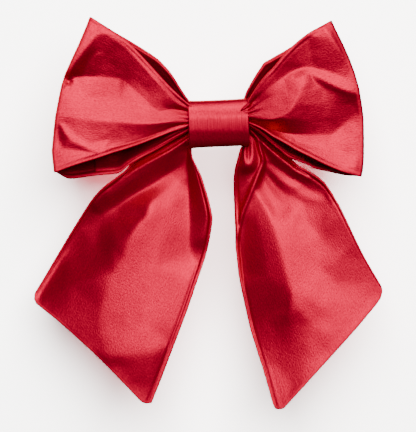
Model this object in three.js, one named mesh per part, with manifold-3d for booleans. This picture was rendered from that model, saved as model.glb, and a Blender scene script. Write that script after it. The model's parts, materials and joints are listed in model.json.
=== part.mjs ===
// A satin sailor hair bow on a spring barrette, as a three.js scene graph.
//
// Frame: millimetres, +Z up as the bow is worn, +X to the right seen from the front, front towards -Y.
// The plane y = 0 is the head side of the barrette's locking arm, and the origin is the middle of that arm.
// Fabric is a flat sewn tube, two plies thick, so each fabric piece is a thin closed sheet.

import * as THREE from "three";
import { mergeVertices } from "three/addons/utils/BufferGeometryUtils.js";
import Module from "manifold-3d";

const wasm = await Module();
wasm.setup();

// ---- Driving dimensions -------------------------------------------------------------------------

// Fabric
const LOOP_PLY = 1.2; // thickness of the sewn tube in the loops
const TAIL_PLY = 1.4;
const SWAY_LINE_Z = -44; // below the loops, where each tail bends to swing
const SWAY_GAP = 0.8; // lets the lower length swing without touching the upper one
const TAIL_CROWN = 5; // how far the middle of a tail stands forward of its edges
const TAIL_DROP = 136; // height of the length that swings
const FOLD_RADIUS = 1.5; // middle of the fabric, round the outer fold of a loop
const FLAP_GAP = 0.5; // between the strip's overlapping end and the panel behind it

// Centre knot: a flat tube round the gathered waists and the barrette's bar
const KNOT_LENGTH = 37.6;
const KNOT_HALF_HEIGHT = 15;
const KNOT_HALF_DEPTH = 10.6;
const KNOT_WALL = 1;
const KNOT_Y = -19.6;
const KNOT_Z = -0.7;
const KNOT_TILT = THREE.MathUtils.degToRad(-2.5); // right end a little higher than the left
const KNOT_POWER = 2.6; // of the superellipse section
const WAIST_POWER = 2.4;
const WAIST_LENGTH = 36;
const ROOT_X = 20.2; // where the loops and tails start, clear of the knot's open ends
const THREAD_RADIUS = 0.35;

// Barrette
const BAR_LENGTH = 80;
const BAR_WIDTH = 10;
const BAR_WALL = 0.8;
const SEWING_HOLE_RADIUS = 0.8;
const BAR_END_Y = -9; // head side of the bar's flat ends
const BAR_PAD = 10; // length of each flat end
const BAR_RISE = 4.5; // of the arch between them
const ARM_WALL = 0.8;
const ARM_WIDTH = 6.5;
const ARM_END_WIDTH = 9.4;
const ARM_END_DROP = 1.6; // the catch end lies this far inside the arm's back face
const PIN_X = 35.2;
const PIN_Y = -4.6;
const PIN_RADIUS = 0.7;
const PIN_CLEARANCE = 0.15;
const CATCH_X = -34;
const SPRING_WALL = 0.5;
const SPRING_HALF_LENGTH = 29.5;
const SPRING_BOW = 2.2;
const SPRING_END_Y = -8.2;
const SPRING_WIDTH = 6;

// ---- Materials ----------------------------------------------------------------------------------

function material(color, roughness, metalness) {
  return new THREE.MeshStandardMaterial({ color, roughness, metalness });
}
const satin = material(0xc12331, 0.38, 0);
const satinInside = material(0xa81c2a, 0.42, 0);
const thread = material(0xb01f2c, 0.7, 0);
const nickel = material(0xb9bbbd, 0.3, 1);
const springSteel = material(0x9fa2a6, 0.35, 1);

// ---- Helpers ------------------------------------------------------------------------------------

function point(x, y, z) {
  return new THREE.Vector3(x, y, z);
}

// A smooth curve through points given as [x, y, z].
function edge(...points) {
  const curve = new THREE.CatmullRomCurve3(points.map((p) => point(...p)), false, "centripetal");
  return (t) => curve.getPoint(t);
}

// A surface stretched between four edges: start and end run from first to last along v,
// first and last run from start to end along u.
function coons(start, end, first, last) {
  const corners = [start(0), start(1), end(0), end(1)];
  return (u, v) => {
    const across = first(u).multiplyScalar(1 - v).addScaledVector(last(u), v);
    const along = start(v).multiplyScalar(1 - u).addScaledVector(end(v), u);
    return across
      .add(along)
      .addScaledVector(corners[0], -(1 - u) * (1 - v))
      .addScaledVector(corners[1], -(1 - u) * v)
      .addScaledVector(corners[2], -u * (1 - v))
      .addScaledVector(corners[3], -u * v);
  };
}

function indexed(vertices, triangles) {
  const geometry = new THREE.BufferGeometry();
  const flat = vertices.flatMap((p) => p.toArray());
  geometry.setAttribute("position", new THREE.Float32BufferAttribute(flat, 3));
  geometry.setIndex(triangles);
  return geometry;
}

// A closed sheet of even thickness over surface(u, v), with rows along v and columns along u.
function thickSheet(surface, columns, rows, thickness) {
  const step = 1e-3;
  const vertices = [];
  for (const side of [1, -1]) {
    for (let i = 0; i <= columns; i++) {
      for (let j = 0; j <= rows; j++) {
        const u = i / columns;
        const v = j / rows;
        const [u0, u1] = [Math.max(u - step, 0), Math.min(u + step, 1)];
        const [v0, v1] = [Math.max(v - step, 0), Math.min(v + step, 1)];
        const across = surface(u1, v).sub(surface(u0, v));
        const normal = across.cross(surface(u, v1).sub(surface(u, v0))).normalize();
        vertices.push(surface(u, v).addScaledVector(normal, (side * thickness) / 2));
      }
    }
  }
  const at = (side, i, j) => side * (columns + 1) * (rows + 1) + i * (rows + 1) + j;
  const triangles = [];
  const quad = (a, b, c, d) => triangles.push(a, b, c, a, c, d);
  for (let i = 0; i < columns; i++) {
    for (let j = 0; j < rows; j++) {
      quad(at(0, i, j), at(0, i + 1, j), at(0, i + 1, j + 1), at(0, i, j + 1));
      quad(at(1, i, j), at(1, i, j + 1), at(1, i + 1, j + 1), at(1, i + 1, j));
    }
    quad(at(1, i, 0), at(1, i + 1, 0), at(0, i + 1, 0), at(0, i, 0));
    quad(at(0, i, rows), at(0, i + 1, rows), at(1, i + 1, rows), at(1, i, rows));
  }
  for (let j = 0; j < rows; j++) {
    quad(at(0, 0, j), at(0, 0, j + 1), at(1, 0, j + 1), at(1, 0, j));
    quad(at(1, columns, j), at(1, columns, j + 1), at(0, columns, j + 1), at(0, columns, j));
  }
  return facingOut(indexed(vertices, triangles));
}

// The same geometry with its faces turned round if they point inwards.
function facingOut(geometry) {
  const [a, b, c] = [point(), point(), point()];
  const position = geometry.getAttribute("position");
  const index = geometry.index.array;
  let volume = 0;
  for (let i = 0; i < index.length; i += 3) {
    a.fromBufferAttribute(position, index[i]);
    b.fromBufferAttribute(position, index[i + 1]);
    c.fromBufferAttribute(position, index[i + 2]);
    volume += a.dot(b.cross(c));
  }
  if (volume < 0) {
    for (let i = 0; i < index.length; i += 3) [index[i + 1], index[i + 2]] = [index[i + 2], index[i + 1]];
  }
  return geometry;
}

// Points of a superellipse in the YZ plane at x, with the given half height (z) and half depth (y).
function superellipse(x, halfHeight, halfDepth, power, count) {
  return Array.from({ length: count }, (_, k) => {
    const angle = (2 * Math.PI * k) / count;
    const bend = (value) => Math.sign(value) * Math.abs(value) ** (2 / power);
    return point(x, halfDepth * bend(Math.cos(angle)), halfHeight * bend(Math.sin(angle)));
  });
}

// A closed solid through rings of equal length. Its ends are capped, or it closes on itself.
function loft(rings, closesOnItself = false) {
  const count = rings[0].length;
  const vertices = rings.flat();
  const triangles = [];
  const last = closesOnItself ? rings.length : rings.length - 1;
  for (let i = 0; i < last; i++) {
    const [a, b] = [i * count, ((i + 1) % rings.length) * count];
    for (let k = 0; k < count; k++) {
      const next = (k + 1) % count;
      triangles.push(a + k, b + k, b + next, a + k, b + next, a + next);
    }
  }
  if (!closesOnItself) {
    for (const ring of [0, rings.length - 1]) {
      const middle = vertices.length;
      vertices.push(rings[ring].reduce((sum, p) => sum.add(p), point(0, 0, 0)).divideScalar(count));
      for (let k = 0; k < count; k++) {
        const [p, q] = [ring * count + k, ring * count + ((k + 1) % count)];
        triangles.push(middle, ...(ring === 0 ? [p, q] : [q, p]));
      }
    }
  }
  return facingOut(indexed(vertices, triangles));
}

function solid(geometry) {
  const bare = geometry.clone();
  for (const name of Object.keys(bare.attributes)) if (name !== "position") bare.deleteAttribute(name);
  const merged = mergeVertices(bare, 1e-4);
  return new wasm.Manifold(
    new wasm.Mesh({
      numProp: 3,
      vertProperties: new Float32Array(merged.attributes.position.array),
      triVerts: new Uint32Array(merged.index.array),
    }),
  );
}

function geometryOf(manifold) {
  const mesh = manifold.getMesh();
  const geometry = new THREE.BufferGeometry();
  geometry.setAttribute("position", new THREE.BufferAttribute(new Float32Array(mesh.vertProperties), 3));
  geometry.setIndex(new THREE.BufferAttribute(new Uint32Array(mesh.triVerts), 1));
  return geometry;
}

// A side view in X and Y, extruded from z = from to z = to.
function sideCut(shape, from, to) {
  const options = { depth: to - from, bevelEnabled: false, curveSegments: 20 };
  return new THREE.ExtrudeGeometry(shape, options).translate(0, 0, from);
}

// A plan in X and Z, extruded from y = from to y = to.
function planCut(shape, from, to) {
  return new THREE.ExtrudeGeometry(shape, { depth: to - from, bevelEnabled: false, curveSegments: 12 })
    .rotateX(Math.PI / 2)
    .translate(0, to, 0);
}

function polygon(...points) {
  return new THREE.Shape(points.map(([x, y]) => new THREE.Vector2(x, y)));
}

function rod(radius, length, sides) {
  return new THREE.CylinderGeometry(radius, radius, length, sides);
}

const bow = new THREE.Group();

function add(name, geometry, surface, parent = bow) {
  const mesh = new THREE.Mesh(geometry, surface);
  mesh.name = name;
  parent.add(mesh);
  return mesh;
}

// ---- Loops --------------------------------------------------------------------------------------

// Each loop is half of one long strip: its front panel runs from the knot to the outer fold, and its
// back panel runs home again. Edges are listed from the knot outwards, and the fold from top to bottom.
const LEFT_LOOP = {
  frontTop: [
    [-20.2, -26.5, 11.8], [-31, -30.5, 23.9], [-43.4, -33, 37.2], [-57.5, -31.5, 50.5],
    [-83.3, -17, 67.5],
  ],
  frontBottom: [
    [-20.2, -26.5, -1.4], [-43.4, -35, -10.7], [-70, -37, -19.5], [-84.1, -33, -24.9],
    [-105.8, -17, -32],
  ],
  fold: [
    [-83.3, -17, 67.5], [-98.3, -18.5, 30.9], [-104.9, -19, 3.5], [-107.3, -18.5, -18.6],
    [-105.8, -17, -32],
  ],
  backTop: [
    [-20.2, -20, 13.2], [-32.8, -19.5, 31.8], [-41.6, -18.5, 42.4], [-58.5, -17, 53.5],
    [-83.3, -17, 67.5],
  ],
  backBottom: [
    [-20.2, -20, -4.5], [-52.3, -19, -24], [-63.8, -18, -31.5], [-90, -16.5, -35.2],
    [-105.8, -17, -32],
  ],
  bulge: 7,
  flapReach: 0.7,
};
const RIGHT_LOOP = {
  frontTop: [[20.2, -26.5, 13.2], [28.4, -30, 26.5], [37.2, -32, 38], [52, -30, 52], [72.4, -17, 64.9]],
  frontBottom: [
    [20.2, -26.5, -0.3], [32.8, -32.5, -6.2], [58.4, -36, -21.3], [76, -30, -28.4],
    [91.2, -17, -34.1],
  ],
  fold: [[72.4, -17, 64.9], [82.4, -18, 44.2], [92.7, -19, 5.3], [92.8, -18.5, -18.6], [91.2, -17, -34.1]],
  backTop: [[20.2, -20, 17], [24, -19.5, 28.5], [29.3, -18.5, 37.6], [42, -17, 45], [72.4, -17, 64.9]],
  backBottom: [
    [20.2, -20, -3], [40.8, -19, -19.1], [58.4, -17.5, -27.1], [76.2, -16.5, -32.2],
    [91.2, -17, -34.1],
  ],
  bulge: 7,
  flapReach: 0.55,
};

function loopPanels(loop) {
  const fold = edge(...loop.fold);
  // Away from the knot, across the fold and level with the ground plane of the bow.
  const outwards = (v) => {
    const along = fold(Math.min(v + 0.01, 1)).sub(fold(Math.max(v - 0.01, 0)));
    const side = Math.sign(fold(0.5).x);
    return point(-along.z * side, 0, along.x * side).normalize();
  };
  const foldLine = (offsetY) => (v) =>
    fold(v).addScaledVector(outwards(v), -FOLD_RADIUS).add(point(0, offsetY, 0));
  const panel = (top, bottom, offsetY) => {
    const outer = foldLine(offsetY);
    const topEdge = edge(...top.slice(0, -1), outer(0).toArray());
    const bottomEdge = edge(...bottom.slice(0, -1), outer(1).toArray());
    const root = (v) => topEdge(0).lerp(bottomEdge(0), v);
    return coons(root, outer, topEdge, bottomEdge);
  };
  const front = panel(loop.frontTop, loop.frontBottom, -FOLD_RADIUS);
  const crown = (u, v) => point(0, -loop.bulge * Math.sin(Math.PI * u) * Math.sin(Math.PI * v), 0);
  const crowned = (u, v) => front(u, v).add(crown(u, v));
  const back = panel(loop.backTop, loop.backBottom, FOLD_RADIUS);
  const round = (turn, v) =>
    fold(v)
      .addScaledVector(outwards(v), FOLD_RADIUS * (Math.sin(Math.PI * turn) - 1))
      .add(point(0, -FOLD_RADIUS * Math.cos(Math.PI * turn), 0));
  return { front: crowned, back, round };
}

// The whole strip of one loop, along u: front panel, outer fold, back panel.
function loopStrip({ front, back, round }) {
  const frontShare = 10 / 24;
  const foldShare = 4 / 24;
  return (u, v) => {
    if (u <= frontShare) return front(u / frontShare, v);
    if (u <= frontShare + foldShare) return round((u - frontShare) / foldShare, v);
    return back((1 - u) / (1 - frontShare - foldShare), v);
  };
}

// The end of the strip, which lies inside the loop against the back panel and reaches part of the way out.
function endFlap({ back }, reach) {
  const inset = 0.03;
  const forward = -(LOOP_PLY + FLAP_GAP);
  return (u, v) => back(u * reach, inset + v * (1 - 2 * inset)).add(point(0, forward, 0));
}

for (const [side, loop] of [["left", LEFT_LOOP], ["right", RIGHT_LOOP]]) {
  const panels = loopPanels(loop);
  add(`${side}_loop`, thickSheet(loopStrip(panels), 24, 12, LOOP_PLY), satin);
  add(`${side}_loop_end_flap`, thickSheet(endFlap(panels, loop.flapReach), 8, 8, LOOP_PLY), satinInside);
}

// ---- Tails --------------------------------------------------------------------------------------

// Each tail is one half of a second strip with a slanted end. Its outer edge leaves the knot under the loop.
const LEFT_TAIL = {
  outer: [
    [-20.2, -17, -8.5], [-36.3, -16.8, -18.2], [-63.7, -16.5, -34.8], [-75, -16.5, -44],
    [-88.5, -15.5, -60], [-103.6, -14, -86.7], [-118, -12.5, -111.5],
  ],
  inner: [
    [-20.2, -17, -15], [-18.5, -17, -19], [-11.6, -16.8, -32], [-7, -16.5, -44], [-4.8, -15.8, -59],
    [-10.6, -14.5, -93.8], [-31, -13, -148.7], [-45, -12.5, -180.2],
  ],
};
const RIGHT_TAIL = {
  outer: [
    [20.2, -17, -5.5], [28.4, -16.8, -11.2], [52.3, -16.5, -30.7], [69, -16.5, -44],
    [80, -15.5, -60], [92.1, -14, -85.8], [104.5, -12.5, -108],
  ],
  inner: [
    [20.2, -17, -13.5], [19.6, -17, -18.5], [10.2, -16.8, -34], [10.2, -16.5, -44],
    [10.8, -15.8, -60], [14.1, -14.5, -104.4], [28.4, -13, -160.2], [37.5, -12.5, -183.5],
  ],
};

function tailSheet({ outer, inner }) {
  const [outerEdge, innerEdge] = [edge(...outer), edge(...inner)];
  const root = (v) => outerEdge(0).lerp(innerEdge(0), v);
  const cut = (v) => outerEdge(1).lerp(innerEdge(1), v);
  const flat = coons(root, cut, outerEdge, innerEdge);
  return (u, v) => {
    const p = flat(u, v);
    const drop = THREE.MathUtils.clamp((SWAY_LINE_Z - p.z) / TAIL_DROP, 0, 1);
    return p.add(point(0, -TAIL_CROWN * Math.sin(Math.PI * drop) * Math.sin(Math.PI * v), 0));
  };
}

// One tail is one piece of fabric. It is cut in two across its bend, so that the lower length can swing.
function lengthBetween(low, high, tail) {
  const box = new THREE.BoxGeometry(400, 100, high - low).translate(0, 0, (low + high) / 2);
  return geometryOf(solid(tail).intersect(solid(box)));
}

for (const [side, outline] of [["left", LEFT_TAIL], ["right", RIGHT_TAIL]]) {
  const tail = thickSheet(tailSheet(outline), 16, 8, TAIL_PLY);
  add(`${side}_tail_upper`, lengthBetween(SWAY_LINE_Z + SWAY_GAP / 2, 0, tail), satin);
  add(`${side}_tail_lower`, lengthBetween(-200, SWAY_LINE_Z - SWAY_GAP / 2, tail), satin);
}

// ---- Knot, and the gathered waists inside it ----------------------------------------------------

const knot = new THREE.Group();
knot.position.set(0, KNOT_Y, KNOT_Z);
knot.rotation.y = KNOT_TILT;
bow.add(knot);

function sleeve(halfLength, halfHeight, halfDepth, wall, power, count) {
  return loft(
    [
      superellipse(-halfLength, halfHeight, halfDepth, power, count),
      superellipse(halfLength, halfHeight, halfDepth, power, count),
      superellipse(halfLength, halfHeight - wall, halfDepth - wall, power, count),
      superellipse(-halfLength, halfHeight - wall, halfDepth - wall, power, count),
    ],
    true,
  );
}

// A bundle of pleats along X, drawn in at the middle where the thread is wound.
function waist(halfHeight, halfDepth, drawnIn) {
  const stations = [-1, -0.3, -0.12, 0.12, 0.3, 1].map((share) => (share * WAIST_LENGTH) / 2);
  return loft(
    stations.map((x) => {
      const inset = Math.abs(x) < 0.2 * WAIST_LENGTH * 0.5 ? drawnIn : 0;
      return superellipse(x, halfHeight - inset, halfDepth - inset, WAIST_POWER, 32);
    }),
  );
}

// Turns of thread side by side, wound over the drawn-in middle of a waist.
function winding(halfHeight, halfDepth, turns) {
  const half = turns * THREAD_RADIUS;
  const outside = [];
  for (let k = 0; k <= 2 * turns; k++) {
    const crest = k % 2 === 1 ? THREAD_RADIUS : 0;
    outside.push(
      superellipse(-half + k * THREAD_RADIUS, halfHeight + crest, halfDepth + crest, WAIST_POWER, 32),
    );
  }
  const inside = [half, -half].map((x) =>
    superellipse(x, halfHeight - THREAD_RADIUS, halfDepth - THREAD_RADIUS, WAIST_POWER, 32),
  );
  return loft([...outside, ...inside], true);
}

const LOOP_WAIST = { halfHeight: 12, halfDepth: 4.5, y: -24 - KNOT_Y, z: 0.6 };
const TAIL_WAIST = { halfHeight: 11, halfDepth: 1.8, y: -16.9 - KNOT_Y, z: -1.2 };
const DRAWN_IN = { loop: 1.6, tail: 0.9 };
const GATHER_TURNS = 3;

const wrapShape = sleeve(KNOT_LENGTH / 2, KNOT_HALF_HEIGHT, KNOT_HALF_DEPTH, KNOT_WALL, KNOT_POWER, 48);
add("knot_wrap", wrapShape, satin, knot);
for (const [name, w] of [["loop", LOOP_WAIST], ["tail", TAIL_WAIST]]) {
  const drawnIn = DRAWN_IN[name];
  const gathered = waist(w.halfHeight, w.halfDepth, drawnIn);
  add(`${name}_waist`, gathered, satinInside, knot).position.set(0, w.y, w.z);
  const ringInset = drawnIn - THREAD_RADIUS - 0.3;
  const turns = winding(w.halfHeight - ringInset, w.halfDepth - ringInset, GATHER_TURNS);
  add(`${name}_gather_thread`, turns, thread, knot).position.set(0, w.y, w.z);
}

// Whip stitches that close the wrap at the back.
const STITCHES = 5;
const STITCH_SPACING = 6;
for (let k = 0; k < STITCHES; k++) {
  const stitch = rod(THREAD_RADIUS, 4, 8).rotateX(Math.PI / 2).rotateY(0.35);
  add(`wrap_stitch_${k + 1}`, stitch, thread, knot).position.set(
    (k - (STITCHES - 1) / 2) * STITCH_SPACING,
    KNOT_HALF_DEPTH + THREAD_RADIUS + 0.2,
    0,
  );
}

// ---- Barrette -----------------------------------------------------------------------------------

const padEdge = BAR_LENGTH / 2 - BAR_PAD;
const archRadius = (padEdge ** 2 + BAR_RISE ** 2) / (2 * BAR_RISE);
const pinHole = PIN_RADIUS + PIN_CLEARANCE;

// The bar's side view: flat ends, and an arch whose crown stands towards the bow.
function barSide() {
  const shape = new THREE.Shape();
  const endAngle = Math.asin(padEdge / archRadius);
  const arc = (y, from, to, clockwise) =>
    shape.absarc(0, y - BAR_RISE + archRadius, archRadius, from - Math.PI / 2, to - Math.PI / 2, clockwise);
  shape.moveTo(-BAR_LENGTH / 2, BAR_END_Y - BAR_WALL);
  arc(BAR_END_Y - BAR_WALL, -endAngle, endAngle, false);
  shape.lineTo(BAR_LENGTH / 2, BAR_END_Y - BAR_WALL);
  shape.lineTo(BAR_LENGTH / 2, BAR_END_Y);
  arc(BAR_END_Y, endAngle, -endAngle, true);
  shape.lineTo(-BAR_LENGTH / 2, BAR_END_Y);
  return shape;
}

function roundedPlan(halfLength, halfWidth, radius) {
  const shape = new THREE.Shape();
  shape.absarc(halfLength - radius, halfWidth - radius, radius, 0, Math.PI / 2, false);
  shape.absarc(-halfLength + radius, halfWidth - radius, radius, Math.PI / 2, Math.PI, false);
  shape.absarc(-halfLength + radius, -halfWidth + radius, radius, Math.PI, 1.5 * Math.PI, false);
  shape.absarc(halfLength - radius, -halfWidth + radius, radius, 1.5 * Math.PI, 2 * Math.PI, false);
  return shape;
}

// One of the two ears that hold the hinge pin.
function earSide() {
  const radius = 2;
  const shape = new THREE.Shape();
  shape.moveTo(PIN_X - radius - 0.8, BAR_END_Y - BAR_WALL / 2);
  shape.lineTo(PIN_X + radius, BAR_END_Y - BAR_WALL / 2);
  shape.absarc(PIN_X, PIN_Y, radius, 0, Math.PI, false);
  return shape;
}

function barretteBar() {
  const earWall = 0.8;
  const earOuter = BAR_WIDTH / 2 - 0.1;
  const plan = planCut(roundedPlan(BAR_LENGTH / 2, BAR_WIDTH / 2, 3), -20, 0);
  let bar = solid(sideCut(barSide(), -BAR_WIDTH / 2 - 1, BAR_WIDTH / 2 + 1)).intersect(solid(plan));
  for (const z of [earOuter - earWall, -earOuter]) bar = bar.add(solid(sideCut(earSide(), z, z + earWall)));
  bar = bar.subtract(solid(rod(pinHole, 2 * BAR_WIDTH, 24).rotateX(Math.PI / 2).translate(PIN_X, PIN_Y, 0)));
  bar = bar.subtract(solid(rod(RIVET_SHANK + 0.3, 6, 20).translate(CATCH_X, BAR_END_Y, 0)));
  const sewingHoles = [-1, 1].flatMap((end) => [-1, 1].map((row) => [end * 26, row * 2.6]));
  for (const [x, z] of sewingHoles) {
    bar = bar.subtract(solid(rod(SEWING_HOLE_RADIUS, 12, 16).translate(x, BAR_END_Y - 2, z)));
  }
  return geometryOf(bar);
}

// The locking arm: a strip from the rolled eye at the hinge to the slotted catch end.
function lockingArm() {
  const backFace = [
    [-38.6, -ARM_END_DROP], [-29.8, -ARM_END_DROP], [-28.2, 0], [31.2, 0], [36.1, -3.3],
    [35.2, -4.3], [30.9, -ARM_WALL],
  ];
  const frontFace = [
    [-28.5, -ARM_WALL], [-30.1, -ARM_END_DROP - ARM_WALL], [-38.6, -ARM_END_DROP - ARM_WALL],
  ];
  const eye = rod(1.6, ARM_WIDTH, 24).rotateX(Math.PI / 2).translate(PIN_X, PIN_Y, 0);
  const half = { strip: ARM_WIDTH / 2, end: ARM_END_WIDTH / 2 };
  const plan = polygon(
    [40, -half.strip], [40, half.strip], [-24, half.strip], [-28.5, half.end], [-36.6, half.end],
    [-38.6, half.end - 2],
    [-38.6, -half.end + 2], [-36.6, -half.end], [-28.5, -half.end], [-24, -half.strip],
  );
  const window = polygon(
    [-37, -WINDOW_HALF_WIDTH], [-31, -WINDOW_HALF_WIDTH],
    [-31, WINDOW_HALF_WIDTH], [-37, WINDOW_HALF_WIDTH],
  );
  const strip = solid(sideCut(polygon(...backFace, ...frontFace), -BAR_WIDTH, BAR_WIDTH));
  return geometryOf(
    strip
      .intersect(solid(planCut(plan, -9, 1)))
      .add(solid(eye))
      .subtract(solid(rod(pinHole, 2 * BAR_WIDTH, 24).rotateX(Math.PI / 2).translate(PIN_X, PIN_Y, 0)))
      .subtract(solid(planCut(window, -9, 1))),
  );
}

// A lathe solid from [radius, height] pairs that start and end on the axis.
function turned(profile, sides) {
  return new THREE.LatheGeometry(profile.map(([r, h]) => new THREE.Vector2(r, h)), sides);
}

function hingePin() {
  const [inner, outer, head] = [BAR_WIDTH / 2 + 0.2, BAR_WIDTH / 2 + 0.8, 1.1];
  const profile = [
    [0, -outer], [head, -outer], [head, -inner], [PIN_RADIUS, -inner], [PIN_RADIUS, inner],
    [head, inner], [head, outer], [0, outer],
  ];
  return turned(profile, 24).rotateX(Math.PI / 2).translate(PIN_X, PIN_Y, 0);
}

function tensionBar() {
  const radius = (SPRING_HALF_LENGTH ** 2 + SPRING_BOW ** 2) / (2 * SPRING_BOW);
  const angle = Math.asin(SPRING_HALF_LENGTH / radius);
  const crown = SPRING_END_Y + SPRING_BOW;
  const shape = new THREE.Shape();
  const arc = (y, from, to, clockwise) =>
    shape.absarc(0, y - radius, radius, Math.PI / 2 + from, Math.PI / 2 + to, clockwise);
  arc(crown + SPRING_WALL / 2, -angle, angle, false);
  arc(crown - SPRING_WALL / 2, angle, -angle, true);
  const plan = planCut(roundedPlan(SPRING_HALF_LENGTH, SPRING_WIDTH / 2, 2.4), -12, 0);
  return geometryOf(solid(sideCut(shape, -SPRING_WIDTH, SPRING_WIDTH)).intersect(solid(plan)));
}

// The catch: a channel riveted to the bar's end, and two spring prongs that stand through the arm's slot.
const BRACKET = { from: -38, to: -30.5, wall: 0.6, halfWidth: 3.8, cheekTop: -6.2, floor: BAR_END_Y + 0.3 };
const PRONG = {
  from: -36.5,
  to: -31.5,
  inner: 1.8,
  outer: 2.4,
  tooth: 3.2,
  foot: -7.7,
  tip: -0.3,
  toothFoot: -1.3,
};
const WINDOW_HALF_WIDTH = 2.7; // the teeth reach past its edges and hold the arm shut
const RIVET_SHANK = 0.8;

function acrossX(shape, from, to) {
  // The shape's axes are Z and Y.
  const extruded = new THREE.ExtrudeGeometry(shape, { depth: to - from, bevelEnabled: false });
  return extruded.rotateY(-Math.PI / 2).translate(to, 0, 0);
}

function catchBracket() {
  const { from, to, wall, halfWidth, cheekTop, floor } = BRACKET;
  const channel = polygon(
    [-halfWidth, floor], [halfWidth, floor], [halfWidth, cheekTop], [halfWidth - wall, cheekTop],
    [halfWidth - wall, floor + wall], [-halfWidth + wall, floor + wall],
    [-halfWidth + wall, cheekTop], [-halfWidth, cheekTop],
  );
  const hole = rod(RIVET_SHANK + 0.3, 6, 20).translate(CATCH_X, floor, 0);
  return geometryOf(solid(acrossX(channel, from, to)).subtract(solid(hole)));
}

function catchProng(side) {
  const { from, to, inner, outer, tooth, foot, tip, toothFoot } = PRONG;
  const points = [
    [inner, foot], [outer, foot], [outer, toothFoot], [tooth, toothFoot], [outer - 0.1, tip],
    [inner, tip],
  ];
  const mirrored = points.map(([z, y]) => [side * z, y]);
  return acrossX(polygon(...(side > 0 ? mirrored : mirrored.reverse())), from, to);
}

function catchRivet() {
  const outside = BAR_END_Y - BAR_WALL - 0.3;
  const inside = BRACKET.floor + BRACKET.wall + 0.3;
  const head = 1.5;
  const profile = [
    [0, outside - 0.7], [head * 0.6, outside - 0.6], [head, outside], [RIVET_SHANK, outside],
    [RIVET_SHANK, inside], [head * 0.9, inside], [head * 0.7, inside + 0.4], [0, inside + 0.5],
  ];
  return turned(profile, 20).translate(CATCH_X, 0, 0);
}

add("barrette_bar", barretteBar(), nickel);
add("barrette_locking_arm", lockingArm(), nickel);
add("barrette_hinge_pin", hingePin(), nickel);
add("barrette_tension_bar", tensionBar(), springSteel);
add("catch_bracket", catchBracket(), nickel);
add("catch_prong_upper", catchProng(1), springSteel);
add("catch_prong_lower", catchProng(-1), springSteel);
add("catch_rivet", catchRivet(), nickel);

export default bow;
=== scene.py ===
"""A red satin sailor hair bow on a spring barrette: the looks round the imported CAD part.

Row frame: +Z up, +X to the right from the front, the bow's front towards -Y. Shapes are written in
millimetres.
"""

import json
import math

import bpy
import numpy as np
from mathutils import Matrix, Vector, geometry, noise


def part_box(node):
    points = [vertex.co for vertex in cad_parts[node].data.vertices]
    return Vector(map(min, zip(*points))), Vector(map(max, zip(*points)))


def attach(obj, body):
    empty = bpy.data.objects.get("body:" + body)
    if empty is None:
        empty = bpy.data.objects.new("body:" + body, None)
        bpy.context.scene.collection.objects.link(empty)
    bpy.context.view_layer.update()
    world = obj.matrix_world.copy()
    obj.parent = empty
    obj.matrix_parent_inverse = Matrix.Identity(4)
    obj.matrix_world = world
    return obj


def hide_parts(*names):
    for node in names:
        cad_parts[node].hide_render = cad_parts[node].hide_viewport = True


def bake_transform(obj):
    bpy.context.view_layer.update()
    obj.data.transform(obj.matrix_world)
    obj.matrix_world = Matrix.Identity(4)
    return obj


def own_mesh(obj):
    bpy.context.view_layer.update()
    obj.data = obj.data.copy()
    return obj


MM = 0.001

# ---- The picture -------------------------------------------------------------------------------
# The eye, and the plane on which every outline below is measured, in mm.
EYE = np.array([-6.75, -1300.0, -60.15])
PLANE_Y = -17.0
PICTURE_HEIGHT = 277.8  # seen on that plane
WALL_Y = 30.0

# ---- Fabric, in mm -----------------------------------------------------------------------------
PLY = 0.8  # two plies of satin
SEAM_PLY = 1.15  # where the seam allowances lie inside the edges
SEAM_WIDTH = 6.0
EDGE_RADIUS = 0.62  # of a rolled edge
EDGE_TURNS = (25, 50, 75)  # where a rolled edge has its points, in degrees from the ply's face
LIP = 0.45  # height of the ridge along an edge
FOLD_STEP = 2.5  # between the points of a fold line
REACH = 6.0  # how far outside its net a surface may run
LOOP_SHARPNESS, TAIL_SHARPNESS = 0.7, 0.45  # the share of a height that keeps its folds sharp
LOOP_SPREAD, TAIL_SPREAD = 24, 30  # cells over which the rest is smoothed
LOOP_RELIEF = 1.25  # how much a loop's folds are heightened between the knot and the outer fold
LOOP_FLARE = 4.5  # how much further the loops stand out at their outer folds
TAIL_RELIEF = 1.4  # how much the tails' folds are heightened below the knot
TAIL_RELIEF_FROM = 0.3  # the share of a tail's length after which that holds in full
FOLD_RADIUS = 3.0  # behind the outer fold
FOLD_OUT = 0.9  # from the last of the flat fabric to the fold itself
FLAP_GAP = 1.35  # from the middle of the back panel's fabric to the middle of the flap's
# Pleats that fan out of the knot: their height, how many, and the share of a panel over which they fade.
FRONT_PLEATS = 0.5, 4.5, 0.16
BACK_PLEATS = 0.7, 3.5, 0.2
# How far the back panel stands forward at the knot and falls back in its middle, and how far its top and
# bottom edges curl forward, with how far in the curl reaches.
BACK_STAND, BACK_HOLLOW = 3.4, 1.5
CURL_TOP, CURL_BOTTOM = (7.5, 7), (6, 6)

scene = bpy.context.scene


def camera():
    data = bpy.data.cameras.new("camera")
    data.sensor_width = 36
    data.lens = 36 * (PLANE_Y - EYE[1]) / PICTURE_HEIGHT
    data.clip_start, data.clip_end = 0.05, 20
    cam = bpy.data.objects.new("camera", data)
    cam.location = Vector(EYE) * MM
    cam.rotation_euler = (math.pi / 2, 0, 0)
    scene.collection.objects.link(cam)
    scene.camera = cam


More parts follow.
